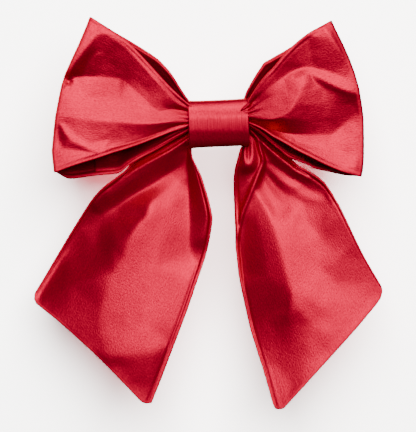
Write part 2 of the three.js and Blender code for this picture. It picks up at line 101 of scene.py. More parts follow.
camera()
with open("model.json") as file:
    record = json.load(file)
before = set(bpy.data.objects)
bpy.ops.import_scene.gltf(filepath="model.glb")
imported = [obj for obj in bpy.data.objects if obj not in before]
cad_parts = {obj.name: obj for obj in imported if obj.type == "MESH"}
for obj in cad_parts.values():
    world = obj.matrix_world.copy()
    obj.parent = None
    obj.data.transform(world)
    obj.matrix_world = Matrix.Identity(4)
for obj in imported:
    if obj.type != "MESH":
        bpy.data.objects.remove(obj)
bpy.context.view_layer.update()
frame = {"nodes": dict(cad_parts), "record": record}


# ---- Materials ---------------------------------------------------------------------------------


def new_material(name):
    m = bpy.data.materials.new(name)
    m.use_nodes = True
    nodes, links = m.node_tree.nodes, m.node_tree.links
    return m, nodes, links, nodes["Principled BSDF"]


def stretched_noise(nodes, links, source, waves, detail):
    """Noise over the coordinates in source, with this many waves to a metre along each axis."""
    place = nodes.new("ShaderNodeMapping")
    place.inputs["Scale"].default_value = waves
    texture = nodes.new("ShaderNodeTexNoise")
    texture.inputs["Scale"].default_value = 1
    texture.inputs["Detail"].default_value = detail
    links.new(source, place.inputs["Vector"])
    links.new(place.outputs["Vector"], texture.inputs["Vector"])
    return texture.outputs["Fac"]


def ranged(nodes, links, value, old, new):
    """A value taken from its old range to a new one, and held at the ends."""
    node = nodes.new("ShaderNodeMapRange")
    for end, number in zip(("From Min", "From Max", "To Min", "To Max"), (*old, *new)):
        node.inputs[end].default_value = number
    links.new(value, node.inputs["Value"])
    return node.outputs["Result"]


def raise_bumps(nodes, links, height, strength, distance, bsdf):
    bump = nodes.new("ShaderNodeBump")
    bump.inputs["Strength"].default_value = strength
    bump.inputs["Distance"].default_value = distance
    links.new(height, bump.inputs["Height"])
    links.new(bump.outputs["Normal"], bsdf.inputs["Normal"])


def satin(name, colour, shade=1.0):
    """Woven satin: a tinted sheen over deep red, with fine warp threads and soft slubs. Edges and outer
    folds, which cloth() lays at known places on the fabric, get a painted highlight: a lighter base
    colour, with a higher roughness as well. shade scales the whole base colour, for a painted-shade copy."""
    m, nodes, links, bsdf = new_material(name)

    def work(operation, a, b=0):
        node = nodes.new("ShaderNodeMath")
        node.operation = operation
        for socket, value in zip(node.inputs, (a, b)):
            if isinstance(value, (int, float)):
                socket.default_value = value
            else:
                links.new(value, socket)
        return node.outputs[0]

    def close(distance, full, none):
        """One up to the distance full, falling to zero at the distance none."""
        return ranged(nodes, links, distance, (full, none), (1, 0))

    uv = nodes.new("ShaderNodeUVMap")
    uv.uv_map = "UVMap"
    fabric = uv.outputs["UV"]
    place = nodes.new("ShaderNodeSeparateXYZ")
    links.new(fabric, place.inputs[0])
    along, across = place.outputs[0], place.outputs[1]
    edge = close(work("MINIMUM", across, work("SUBTRACT", STRIP, across)), 0.4 * RIM, RIM)
    fold = close(work("ABSOLUTE", work("SUBTRACT", along, FOLD_AT)), FOLD_REACH, 1.2 * FOLD_REACH)
    cut = close(work("ABSOLUTE", work("SUBTRACT", TAIL_END, along)), 0.4 * RIM, RIM)
    painted_rim_highlight = work("MAXIMUM", work("MAXIMUM", edge, fold), cut)

    grain = stretched_noise(nodes, links, fabric, GRAIN, 3)
    slubs = stretched_noise(nodes, links, fabric, SLUBS, 1)
    threads = work("ADD", grain, work("MULTIPLY", slubs, 0.5))
    tint = ranged(nodes, links, threads, (0.45, 1.05), (0.66 * shade, 1.15 * shade))
    scaled = nodes.new("ShaderNodeVectorMath")
    scaled.operation = "SCALE"
    scaled.inputs[0].default_value = colour
    # Painted highlight: the base colour is lightened by up to 0.4 near edges, cut ends and outer folds.
    links.new(work("MULTIPLY", tint, work("ADD", work("MULTIPLY", painted_rim_highlight, 0.4), 1)), scaled.inputs["Scale"])
    links.new(scaled.outputs["Vector"], bsdf.inputs["Base Color"])
    raise_bumps(nodes, links, threads, 0.5, 0.0003, bsdf)
    worn = ranged(nodes, links, stretched_noise(nodes, links, fabric, WEAR, 3), (0, 1), (0.36, 0.52))
    # The same mask also raises the roughness there by up to 0.2.
    links.new(work("ADD", worn, work("MULTIPLY", painted_rim_highlight, 0.2)), bsdf.inputs["Roughness"])
    bsdf.inputs["Metallic"].default_value = 0.8
    bsdf.inputs["Specular IOR Level"].default_value = 0.15
    bsdf.inputs["Specular Tint"].default_value = (1.0, 0.1, 0.17, 1)
    return m


def metal(name, colour, roughness, scratch):
    """Metal brushed along X."""
    m, nodes, links, bsdf = new_material(name)
    coords = nodes.new("ShaderNodeTexCoord")
    lines = stretched_noise(nodes, links, coords.outputs["Object"], BRUSHING, 3)
    rough = ranged(nodes, links, lines, (0, 1), (roughness - scratch, roughness + scratch))
    links.new(rough, bsdf.inputs["Roughness"])
    bsdf.inputs["Base Color"].default_value = (*colour, 1)
    bsdf.inputs["Metallic"].default_value = 1
    return m


def cotton(name, colour):
    """Matt sewing thread."""
    m, nodes, links, bsdf = new_material(name)
    coords = nodes.new("ShaderNodeTexCoord")
    twist = nodes.new("ShaderNodeTexWave")
    twist.bands_direction = "DIAGONAL"
    twist.inputs["Scale"].default_value = 900
    links.new(coords.outputs["Object"], twist.inputs["Vector"])
    raise_bumps(nodes, links, twist.outputs["Fac"], 0.4, 0.0001, bsdf)
    bsdf.inputs["Base Color"].default_value = (*colour, 1)
    bsdf.inputs["Roughness"].default_value = 0.75
    return m


# Waves to a metre, along and across the fabric or along X, Y and Z of the metal.
GRAIN, SLUBS, WEAR = (650, 1000, 1), (110, 2600, 1), (35, 35, 1)
BRUSHING = (60, 1500, 1500)
# Places on the fabric, in metres: its far edge, the tails' cut ends, and the loops' outer folds with half
# their width.
STRIP, TAIL_END, FOLD_AT, FOLD_REACH = 0.1, 0.5, 0.0944, 0.0046
RIM = 0.0018  # how far from an edge the painted highlight and the extra roughness reach
RED = (0.45, 0.0005, 0.027)
SATIN = satin("satin", RED)
# Painted shade: the same satin with its colour scaled to 0.9, for the pieces inside the loops and the knot.
SATIN_PAINTED_SHADE = satin("satin_inside", RED, 0.9)
THREAD = cotton("thread", (0.38, 0.012, 0.022))
NICKEL = metal("nickel", (0.66, 0.66, 0.67), 0.24, 0.06)
SPRING_STEEL = metal("spring_steel", (0.52, 0.53, 0.55), 0.32, 0.08)


# ---- Shapes in the picture plane ---------------------------------------------------------------


def placed(x, z, toward):
    """The points that the eye sees at x, z of the picture plane, standing this far in front of it."""
    x, z, toward = (np.asarray(a, float) for a in (x, z, toward))
    y = PLANE_Y - toward
    share = (y - EYE[1]) / (PLANE_Y - EYE[1])
    return np.stack([EYE[0] + (x - EYE[0]) * share, y + 0 * x, EYE[2] + (z - EYE[2]) * share], axis=-1)


def line(points, count, curved=True):
    """A smooth line through points, at evenly spaced places along it."""
    p = np.array(points, float)
    if curved and len(p) > 2:
        dense = []
        padded = np.vstack([2 * p[0] - p[1], p, 2 * p[-1] - p[-2]])
        for a, b, c, d in zip(padded, padded[1:], padded[2:], padded[3:]):
            t = np.linspace(0, 1, 24, endpoint=False)[:, None]
            dense.append(
                b
                + 0.5 * t * (c - a)
                + t**2 * (a - 2.5 * b + 2 * c - 0.5 * d)
                + t**3 * (1.5 * (b - c) + 0.5 * (d - a))
            )
        p = np.vstack([*dense, p[-1:]])
    run = np.concatenate([[0], np.cumsum(np.linalg.norm(np.diff(p, axis=0), axis=1))])
    at = np.linspace(0, run[-1], count)
    return np.stack([np.interp(at, run, p[:, k]) for k in range(p.shape[1])], axis=1)


def coons(start, end, first, last):
    """A grid [along u, along v] stretched between its four edges: start and end run along v, first and
    last along u."""
    nu, nv = len(first), len(start)
    u = np.linspace(0, 1, nu)[:, None, None]
    v = np.linspace(0, 1, nv)[None, :, None]
    across = first[:, None] * (1 - v) + last[:, None] * v
    along = start[None] * (1 - u) + end[None] * u
    corners = start[0] * (1 - u) * (1 - v) + start[-1] * (1 - u) * v + end[0] * u * (1 - v) + end[-1] * u * v
    return across + along - corners


def facets(grid, folds):
    """Heights over a grid of x, z: facets stretched between folds, which are lines of (x, z, height)."""
    points, edges, heights = [], [], []
    for fold in folds:
        length = sum(math.dist(a[:2], b[:2]) for a, b in zip(fold, fold[1:]))
        for k, (x, z, h) in enumerate(line(fold, max(2, round(length / FOLD_STEP) + 1))):
            points.append(Vector((x, z)))
            heights.append(h)
            if k:
                edges.append((len(points) - 2, len(points) - 1))
    out = geometry.delaunay_2d_cdt(points, edges, [], 0, 1e-4)
    verts, faces, origin = [np.array(v) for v in out[0]], out[2], out[3]
    xz = np.array([tuple(p) for p in points])
    height = np.array(heights)
    h = np.empty(len(verts))
    for k, came in enumerate(origin):
        if came:
            h[k] = height[came[0]]
        else:
            near = np.argsort(((xz - verts[k]) ** 2).sum(1))[:2]
            h[k] = height[near].mean()
    spots = grid.reshape(-1, 2)
    best = np.full(len(spots), -1e9)
    value = np.zeros(len(spots))
    for a, b, c in faces:
        pa, pb, pc = verts[a], verts[b], verts[c]
        area = (pb[0] - pa[0]) * (pc[1] - pa[1]) - (pb[1] - pa[1]) * (pc[0] - pa[0])
        if abs(area) < 1e-3:
            continue
        low = np.minimum(np.minimum(pa, pb), pc) - REACH
        high = np.maximum(np.maximum(pa, pb), pc) + REACH
        near = np.nonzero(((spots > low) & (spots < high)).all(1))[0]
        if not len(near):
            continue
        d = spots[near] - pa
        wb = (d[:, 0] * (pc[1] - pa[1]) - d[:, 1] * (pc[0] - pa[0])) / area
        wc = ((pb[0] - pa[0]) * d[:, 1] - (pb[1] - pa[1]) * d[:, 0]) / area
        wa = 1 - wb - wc
        inside = np.minimum(np.minimum(wa, wb), wc) * math.sqrt(abs(area))
        w = np.clip(np.stack([wa, wb, wc]), 0, 1)
        w /= w.sum(0)
        here = w[0] * h[a] + w[1] * h[b] + w[2] * h[c]
        take = inside > best[near]
        best[near[take]] = inside[take]
        value[near[take]] = here[take]
    return value.reshape(grid.shape[:2])


def eased(a):
    """From 0 to 1 with a soft start and end."""
    a = np.clip(a, 0, 1)
    return a**2 * (3 - 2 * a)


def blurred(a, cells):
    """Smoothed over that many cells each way, with the borders held."""
    out = a
    for _ in range(cells):
        for axis in (0, 1):
            p = np.moveaxis(out, axis, 0)
            q = p.copy()
            q[1:-1] = 0.25 * p[:-2] + 0.5 * p[1:-1] + 0.25 * p[2:]
            out = np.moveaxis(q, 0, axis)
    return out


def draped(grid, folds, sharpness, spread):
    """Heights over a grid with the folds softened, as cloth softens them."""
    raw = facets(grid, folds)
    return sharpness * blurred(raw, 3) + (1 - sharpness) * blurred(raw, spread)


def ripple(grid, seed, scale, height):
    """Small uneven crumples."""
    out = np.empty(grid.shape[:2])
    for i in range(grid.shape[0]):
        for j in range(grid.shape[1]):
            x, z = grid[i, j]
            out[i, j] = noise.noise(Vector((x / scale[0], z / scale[1], seed)))
    return out * height


def steps(a):
    """Distance along axis 1 of a grid of points, from its nearer end and from its start."""
    lengths = np.linalg.norm(np.diff(a, axis=1), axis=2)
    run = np.hstack([np.zeros((len(a), 1)), np.cumsum(lengths, axis=1)])
    return np.minimum(run, run[:, -1:] - run), run


def lip(grid):
    """The ridge that the seam allowances raise along the edges, with the groove beside it."""
    d, _ = steps(grid)
    return LIP * (1.2 * np.exp(-(((d - 0.7) / 0.7) ** 2)) - np.exp(-(((d - 2.4) / 1.0) ** 2)))


def new_piece(name, verts, faces):
    """A smooth mesh object from points in mm."""
    mesh = bpy.data.meshes.new(name)
    mesh.from_pydata((verts * MM).tolist(), [], faces)
    mesh.shade_smooth()
    obj = bpy.data.objects.new(name, mesh)
    scene.collection.objects.link(obj)
    return obj


def lay_weave(mesh, along, across):
    """Gives each point of a mesh its place on the fabric, in metres."""
    index = np.array([corner.vertex_index for corner in mesh.loops])
    uv = mesh.uv_layers.new(name="UVMap")
    uv.data.foreach_set("uv", np.stack([along[index], across[index]], axis=1).ravel())


def sleeve(rings, sides, base=0):
    """The faces round a tube of rings of points."""
    return [
        (a + k, a + (k + 1) % sides, a + sides + (k + 1) % sides, a + sides + k)
        for a in range(base, base + (rings - 1) * sides, sides)
        for k in range(sides)
    ]


def lids(rings, sides, base=0):
    """The faces that close a tube at both ends."""
    last = base + (rings - 1) * sides
    return [tuple(reversed(range(base, base + sides))), tuple(range(last, last + sides))]


def cloth(name, middle, end_seam=False, flat=(1, 1), start=(0, 0)):
    """A closed piece of fabric over a grid of mid-surface points, with rolled edges along v = 0 and 1.
    end_seam rolls the edge at the last column too. flat is the size of the fabric and start its first
    corner, for its weave."""
    nu, nv = middle.shape[:2]
    du = np.gradient(middle, axis=0)
    dv = np.gradient(middle, axis=1)
    normal = np.cross(du, dv)
    normal /= np.maximum(np.linalg.norm(normal, axis=2, keepdims=True), 1e-9)
    seam = 1 - eased(steps(middle)[0] / SEAM_WIDTH)
    if end_seam:
        to_end = steps(np.swapaxes(middle, 0, 1))[0].T
        last = np.where(np.arange(nu)[:, None] > nu / 2, 1 - eased(to_end / SEAM_WIDTH), 0)
        seam = np.maximum(seam, last)
    half = (PLY + (SEAM_PLY - PLY) * seam)[..., None] / 2
    turn = [math.radians(a) for a in EDGE_TURNS]
    turn = [math.pi / 2 - a for a in reversed(turn)] + [math.pi / 2] + [math.pi / 2 + a for a in turn]

    def ring(i, shrink=1.0, shift=0.0):
        n, m, h = normal[i], middle[i] + shift, half[i] * shrink
        first = -dv[i, 0] / np.linalg.norm(dv[i, 0]) * EDGE_RADIUS
        last = dv[i, -1] / np.linalg.norm(dv[i, -1]) * EDGE_RADIUS
        last_edge = [m[-1] + n[-1] * h[-1] * math.cos(a) + last * math.sin(a) for a in turn]
        first_edge = [m[0] - n[0] * h[0] * math.cos(a) + first * math.sin(a) for a in turn]
        return np.vstack([m + n * h, last_edge, (m - n * h)[::-1], first_edge])

    rings = [ring(i) for i in range(nu)]
    along = list(np.linspace(0, 1, nu))
    if end_seam:
        outward = du[-1] / np.linalg.norm(du[-1], axis=1, keepdims=True)
        for a in map(math.radians, (*EDGE_TURNS, 88)):
            rings.append(ring(nu - 1, math.cos(a), outward * EDGE_RADIUS * math.sin(a)))
            along.append(1)
    count = len(rings[0])
    faces = sleeve(len(rings), count)
    n_turn = len(turn)
    for i, flip in ((0, True), (len(rings) - 1, False)):
        base = i * count
        for k in range(nv - 1):
            p, q = base + k, base + k + 1
            r, s = base + nv + n_turn + (nv - 1 - k), base + nv + n_turn + (nv - 2 - k)
            faces.append((p, r, s, q) if flip else (p, q, s, r))
        right = [base + nv - 1] + [base + nv + k for k in range(n_turn)] + [base + nv + n_turn]
        left = [base + 2 * nv + n_turn - 1] + [base + 2 * nv + n_turn + k for k in range(n_turn)] + [base]
        for cap in (right, left):
            faces.append(tuple(cap) if not flip else tuple(reversed(cap)))
    obj = new_piece(name, np.vstack(rings), faces)
    across = np.concatenate([np.linspace(0, 1, nv), np.ones(n_turn), np.linspace(1, 0, nv), np.zeros(n_turn)])
    us = np.repeat(along, count) * flat[0] + start[0]
    vs = np.tile(across, len(rings)) * flat[1] + start[1]
    lay_weave(obj.data, us, vs)
    obj.data.validate()
    obj.data.update()
    return obj


# ---- Loops -------------------------------------------------------------------------------------
# Outlines and folds are (x, z) or (x, z, height in front of the picture plane), from the knot outwards
# or from the top down.

LEFT_LOOP = {
    "fold": [
        (-82.5, 67.4), (-89.8, 50), (-94, 41), (-98.5, 31), (-101, 23), (-103, 13), (-104.8, 3.5),
        (-106, -8), (-107, -18.7), (-106.2, -26), (-105.4, -31.5),
    ],
    "front_top": [
        (-14, 8), (-19.1, 11.4), (-26.2, 17.6), (-34.2, 25.6), (-43.1, 35.4), (-51, 43.8), (-58.1, 50.9),
        (-67, 57.5), (-82.5, 67.4),
    ],
    "front_bottom": [
        (-14, -1), (-20, -2.5), (-30, -5.5), (-40, -9.3), (-50, -13.2), (-60, -16.6), (-68, -19),
        (-78.5, -22.6), (-91.8, -26.7), (-105.4, -31.5),
    ],
    "back_top": [
        (-14, 8), (-18.7, 13.2), (-23.5, 20), (-29.8, 30), (-34, 35.2), (-39.5, 40.6), (-48, 46.4),
        (-58.1, 52.6), (-67, 57.8), (-82.5, 67.4),
    ],
    "back_bottom": [
        (-14, -3), (-18.5, -5), (-30, -11.2), (-40, -17.2), (-50, -22.4), (-58, -27.3), (-62.5, -31.2),
        (-66, -32.4), (-74, -33.2), (-82, -34), (-90, -35.2), (-97.1, -35.4), (-105.4, -31.5),
    ],
    "swell_from": 12,  # the height that the relief leaves alone
    "seed": 1.3,
    "flap_reach": 0.72,  # how far the strip's end reaches from the knot to the outer fold
}
LEFT_LOOP["folds"] = [
    # outer fold, top edge and bottom edge
    [(-82.5, 67.4, 8.2), (-89.8, 50, 11.2), (-94, 41, 11.7), (-98.5, 31, 10.8), (-101, 23, 8.3),
     (-103, 13, 9.2), (-104.8, 3.5, 10.6), (-106, -8, 10), (-107, -18.7, 10.8), (-105.4, -31.5, 13.8)],
    [(-82.5, 67.4, 8.2), (-75, 62.4, 9), (-67, 57.5, 9.9), (-58.1, 50.9, 10.9), (-51, 43.8, 11.6),
     (-43.1, 35.4, 12.2), (-34.2, 25.6, 12.7), (-26.2, 17.6, 12.8), (-19.1, 11.4, 12.1), (-14, 8, 11)],
    [(-14, -1, 8.6), (-20, -2.5, 10), (-30, -5.5, 11.6), (-40, -9.3, 12.8), (-50, -13.2, 13.4),
     (-60, -16.6, 13.6), (-68, -19, 14), (-78.5, -22.6, 14.2), (-91.8, -26.7, 14.2), (-105.4, -31.5, 13.8)],
    # ridges that shut in the upper dark facet
    [(-96, 33, 10.6), (-90.5, 40, 11.6), (-85, 48, 11.4), (-79, 56, 10.8), (-74.5, 60, 10.5)],
    [(-74.5, 60, 10.5), (-67, 55, 11), (-59.4, 48.8, 11.2), (-52.4, 40.8, 11.9), (-45.8, 33, 12.8),
     (-38.8, 25.2, 13.5), (-31.4, 16.8, 13.4), (-25.6, 11.6, 12.7), (-20, 9.8, 12), (-14, 7.8, 10.6)],
    [(-84, 41, 8.1), (-77, 46, 8), (-70, 43, 7.8)],
    # valley from the notch, then down to the knot
    [(-97.6, 30.4, 7.6), (-87, 29.6, 5), (-77, 29.2, 4.9), (-64, 28, 6.8), (-58, 26.6, 9)],
    [(-58, 26.6, 8.8), (-56, 23, 9.5), (-48, 15.5, 10.9), (-41, 8.4, 11.7), (-38, 6.4, 12)],
    [(-38, 6.4, 11.8), (-33, 8.2, 11.6), (-28, 8.4, 11.2), (-20, 7.6, 10.4), (-14, 6.4, 9.4)],
    # soft fold inside that dark facet
    [(-53, 27, 10.4), (-46, 20, 11.4), (-39, 13, 12.3), (-32, 10.4, 12.2)],
    # dart under the notch
    [(-98.4, 29.3, 6), (-91.5, 27, 6.8), (-98.6, 21.8, 7.4)],
    [(-98.4, 27, 4.2), (-96, 26, 4.6)],
    # belly
    [(-104.6, 4.4, 10.4), (-97, 3.4, 11.2), (-88, 2.4, 11.9), (-76, 1, 12.9), (-62, 0, 13.7),
     (-50, -1, 14.3), (-40, -0.6, 14.4), (-30, 0.8, 13.6), (-20, 2, 12.2), (-14, 2.2, 10.8)],
    [(-96, 17, 9.1), (-80, 16, 9.4), (-64, 15, 10), (-52, 11, 11.6)],
    # dark line over the rolled bottom edge
    [(-68, -16.2, 12.2), (-60, -14.4, 12.3), (-50, -11.4, 12.3), (-40, -8, 11.8), (-30, -4.4, 11.1),
     (-20, -1.6, 9.6)],
    # soft fold down the middle of the belly
    [(-70, -6, 12.9), (-69.5, -11, 12.3), (-69.5, -15.6, 12.1)],
    # bright crease at the lower left, and the hollows on both sides
    [(-103.8, 2.4, 10.3), (-101.6, -2.4, 11.2), (-98, -7.8, 12.2), (-93, -12.6, 12.7), (-86.6, -15.2, 13.1),
     (-81, -17.8, 13.2), (-73, -18.8, 13.4)],
    [(-99, -0.4, 10.5), (-95, -5.2, 11.1), (-89.8, -9.8, 11.8), (-83.6, -13.6, 12.2)],
    [(-106.6, -17.8, 10.8), (-100, -17, 11.2), (-92, -17.6, 11.7), (-86, -18.8, 12.2), (-79.6, -20.4, 13)],
    [(-102.5, -4, 9.8), (-102, -12, 9.6)],
]
RIGHT_LOOP = {
    "fold": [
        (72.5, 65), (76, 58), (80, 50), (84, 41), (87.5, 31.5), (90.2, 22), (91.8, 12.3), (93, 3.5),
        (93.3, -9.8), (93.2, -23.1), (92.6, -30), (91.5, -34.3),
    ],
    "front_top": [
        (14, 8), (18.5, 12), (21, 16.5), (25, 23), (30, 29.5), (35, 34.5), (40, 40.5), (44.5, 45.5),
        (50, 50.8), (58, 57), (64, 60.4), (72.5, 65),
    ],
    "front_bottom": [
        (14, 1.5), (19, 0), (25, -2.4), (30, -5.2), (35, -8.7), (40, -11.4), (45, -14.2), (50, -17.2),
        (60, -22.2), (70, -27.2), (80, -31.2), (91.5, -34.3),
    ],
    "back_top": [
        (14, 11), (16.5, 15), (18, 19), (20, 23), (24, 30), (27, 34.5), (29.5, 38), (33, 40), (38, 43),
        (40.5, 44.3), (48, 49), (55.2, 55), (64, 60.2), (72.5, 65),
    ],
    "back_bottom": [
        (14, 0), (19, -2), (25, -5.4), (30, -9.3), (35, -13.7), (40, -17.8), (44, -21.2), (47, -22.8),
        (52, -24.8), (58, -26.9), (60, -28.4), (64, -29.7), (70, -30.9), (80, -33.2), (91.5, -34.3),
    ],
    "swell_from": 3,
    "seed": 5.1,
    "flap_reach": 0.56,
}
RIGHT_LOOP["folds"] = [
    # outer fold, top edge and bottom edge
    [(72.5, 65, 12.8), (76, 58, 12.9), (80, 50, 12.2), (84, 41, 11.2), (87.5, 31.5, 10.8), (90.2, 22, 10.6),
     (91.8, 12.3, 8.8), (93, 3.5, 6.6), (93.3, -9.8, 6.2), (93.2, -23.1, 7), (91.5, -34.3, 8)],
    [(72.5, 65, 12.6), (64, 60.4, 13), (58, 57, 13.1), (50, 50.8, 13.3), (44.5, 45.5, 13.5),
     (40, 40.5, 13.7), (35, 34.5, 13.9), (30, 29.5, 14.1), (25, 23, 14.3), (21, 16.5, 14.3),
     (18.5, 12, 13.6), (14, 8, 12.4)],
    [(14, 1.5, 7), (19, 0, 8.4), (25, -2.4, 9.6), (30, -5.2, 10.6), (35, -8.7, 11.6), (40, -11.4, 12.4),
     (45, -14.2, 12.2), (50, -17.2, 12), (60, -22.2, 11.4), (70, -27.2, 10.4), (80, -31.2, 9.4),
     (91.5, -34.3, 8)],
    # ridge inside the top edge
    [(47, 47, 13.8), (42, 41.4, 14.1), (36.4, 34.6, 14.3), (31.4, 28.6, 14.5), (26.6, 22.4, 14.5),
     (22.4, 16, 14.1), (19.6, 11.6, 13)],
    # bright band beside the outer fold
    [(68, 60, 14.8), (73, 54, 15), (78, 46, 13.8), (82, 38, 11.8)],
    # valley above the peak, out to the outer fold
    [(20, 12.6, 12.4), (24, 16, 13.2), (28, 19, 13.6), (33, 23, 13.3), (38, 26.6, 12.5), (44, 30.4, 11.5),
     (50, 33.6, 10.4), (56, 35.4, 10), (62, 34.6, 9.9), (70, 32.8, 10.3), (78, 30, 10.6), (84, 26.8, 10.8),
     (89, 22.8, 10.6)],
    # ridge out from the peak, and the dark hollow under it
    [(57, 33.2, 10.9), (62, 30.4, 11.5), (66, 28.2, 11.9), (70, 25.8, 12.1), (75, 23.2, 12.2),
     (80, 21, 11.9), (85, 19.4, 11.8), (90.6, 18.4, 10.8)],
    [(59.8, 29, 10.9), (62, 26, 10.9), (68, 22.4, 10.5), (76, 19.2, 10.3), (84, 16.6, 9.9),
     (90.6, 15.4, 9.4)],
    # rounded lobe to the left of the peak
    [(57, 33.2, 11.2), (58.4, 30, 11.6), (59.2, 25, 12.1), (58, 20.4, 12.5)],
    [(47, 29.6, 12.4), (50, 25.4, 13.2), (52, 20.6, 13.8), (50, 14, 14.4), (46, 7, 14.6)],
    [(54.8, 29.6, 12.6), (55.8, 24.6, 13.2)],
    # pleat from the knot
    [(18.9, 9.8, 12.4), (25, 12.3, 12.9), (31, 15.4, 13), (38, 18.3, 12.9), (44, 19.8, 13.1)],
    [(18.9, 3, 12.2), (25, 2.4, 13.2), (31, 1.8, 14), (38, 2.6, 14.4), (46, 7, 14.6)],
    # broad dark facet
    [(60, 11, 11.6), (70, 12, 9.4), (80, 12, 8.2), (87, 12, 7.7)],
    [(44, 2.2, 13.8), (56, 2, 11.2), (68, 2.6, 8.8)],
    # valley under it
    [(14, 3, 7.2), (18.9, 1.3, 7.6), (25, -0.9, 7.4), (31, -3.3, 7.2), (37, -5.4, 7.8), (43, -7, 8.9),
     (55, -7.5, 8.8), (62, -7.7, 7.9), (71, -8, 6.6), (74, -7, 6), (78, -3.4, 5.6), (83, 1.1, 5.7),
     (88, 4.9, 6.1), (92.6, 6, 6.8)],
    # low ridge in the bright facet
    [(50, -12.4, 9.6), (62, -15, 8.4), (74, -18, 7.6), (84, -20, 7.2)],
    [(87, -10, 6.6), (88.4, -20, 7.4), (88, -29, 8.8)],
]


def fold_line(loop, nv):
    """The outer fold, from the top down, and the way out of the loop across it."""
    fold = line(loop["fold"], nv, curved=False)
    fold = blurred(fold[:, None], 2)[:, 0]
    along = np.gradient(fold, axis=0)
    side = np.sign(fold[nv // 2, 0])
    out = np.stack([-along[:, 1], along[:, 0]], axis=1) * side
    return fold, out / np.linalg.norm(out, axis=1, keepdims=True)


def fan(u, v, pleats, shift):
    """Pleats that run out of the knot and fade. They are shifted across by this share of a pleat."""
    height, count, fade = pleats
    return height * np.sin(2 * np.pi * (count * v + shift)) * np.exp(-((u / fade) ** 2))


def curled(distance, curl):
    """How far forward fabric curls at this distance from its edge."""
    height, reach = curl
    return height * np.exp(-((distance / reach) ** 1.5))


def loop_strip(loop):
    """The mid-surface of one loop: front panel, outer fold and back panel, with v from the top down."""
    nu, nv, turns = 150, 150, 14
    seed = loop["seed"]
    fold, out = fold_line(loop, nv)
    inner = fold - out * FOLD_OUT
    top = line(loop["front_top"][:-1] + [tuple(inner[0])], nu)
    bottom = line(loop["front_bottom"][:-1] + [tuple(inner[-1])], nu)
    grid = coons(line([top[0], bottom[0]], nv), inner, top, bottom)
    height = draped(grid, loop["folds"], LOOP_SHARPNESS, LOOP_SPREAD) + 0.3 * lip(grid)
    u = np.linspace(0, 1, nu)[:, None]
    v = np.linspace(0, 1, nv)[None]
    pleats = fan(u, v, FRONT_PLEATS, 0.35 * np.sin(5 * v + seed))
    crumple = ripple(grid, seed, (26, 18), 0.6) + ripple(grid, seed + 9, (7, 5), 0.1)
    height = height + (height - loop["swell_from"]) * (LOOP_RELIEF - 1) * np.sin(np.pi * u)
    height = height + pleats + crumple * np.sin(np.pi * u) ** 0.5 + LOOP_FLARE * eased(u)
    front_edge = height[-1]
    front = placed(grid[..., 0], grid[..., 1], height)

    round_rows = []
    for k in range(1, turns):
        a = math.pi * k / turns
        at = inner + out * FOLD_OUT * math.sin(a)
        turned = (front_edge - FOLD_RADIUS + (front_edge + FOLD_RADIUS) * math.cos(a)) / 2
        round_rows.append(placed(at[:, 0], at[:, 1], turned))

    top = line(loop["back_top"][:-1] + [tuple(inner[0])], nu)
    bottom = line(loop["back_bottom"][:-1] + [tuple(inner[-1])], nu)
    grid = coons(line([top[0], bottom[0]], nv), inner, top, bottom)
    _, run = steps(grid)
    to_bottom = run[:, -1:] - run
    curl = (curled(run, CURL_TOP) + curled(to_bottom, CURL_BOTTOM)) * np.sin(np.pi * u) ** 0.8
    hollow = BACK_HOLLOW * np.sin(np.pi * u) * np.sin(np.pi * v)
    sag = -FOLD_RADIUS + (BACK_STAND + FOLD_RADIUS) * (1 - u) ** 1.5 - hollow + curl
    crumple = ripple(grid, seed + 4, (18, 10), 0.9) * np.sin(np.pi * u) ** 0.5
    height = sag + fan(u, v, BACK_PLEATS, 0.2) + crumple + lip(grid)
    back = placed(grid[..., 0], grid[..., 1], height)
    return np.concatenate([front, np.array(round_rows), back[::-1]]), back


def end_flap(back, reach, name):
    """The strip's own end, laid inside the loop against the back panel."""
    last = int(len(back) * reach)
    flap = back[: last + 1, 3:-3].copy()
    flap[..., 1] -= FLAP_GAP
    return cloth(name, flap[:, ::2], end_seam=True, flat=(0.07, 0.1))


def build_loop(side, loop):
    middle, back = loop_strip(loop)
    strip = cloth(f"{side}_loop_satin", middle, flat=(0.19, 0.1))
    flap = end_flap(back, loop["flap_reach"], f"{side}_loop_end_satin")
    strip.data.materials.append(SATIN)
    flap.data.materials.append(SATIN_PAINTED_SHADE)
    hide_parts(f"{side}_loop")
    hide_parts(f"{side}_loop_end_flap")
    for piece in (strip, flap):
        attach(piece, "bow")
    return strip, flap


LOOPS = [build_loop("left", LEFT_LOOP), build_loop("right", RIGHT_LOOP)]


# ---- Tails -------------------------------------------------------------------------------------

LEFT_TAIL = {
    "outer": [
        (-14, -1.4), (-18.5, -3.4), (-30, -9.2), (-40, -15.2), (-50, -20.8), (-56, -26.6), (-60, -31.4),
        (-70, -38.8), (-76, -44), (-80, -48.5), (-85, -55.5), (-90, -63.5), (-95, -71.5), (-100, -80),
        (-105, -88.3), (-110, -97), (-116.4, -107.6),
    ],
    "inner": [
        (-14, -12), (-17.2, -16), (-17, -22.5), (-14, -29), (-11.3, -35), (-9, -42), (-6.8, -49.4),
        (-5, -57), (-4.4, -63), (-6, -74), (-8, -83), (-10.4, -91), (-15.6, -106), (-20, -119),
        (-25, -132.5), (-31.3, -149), (-37, -164), (-43.4, -180),
    ],
    "cut": [
        (-116.4, -107.6), (-118, -110.4), (-118.4, -113), (-117, -116), (-102.4, -127.6), (-82.9, -145),
        (-65.2, -162.6), (-51, -177.6), (-49, -179.4), (-46.6, -180.3), (-43.4, -180),
    ],
    "seed": 2.2,
}
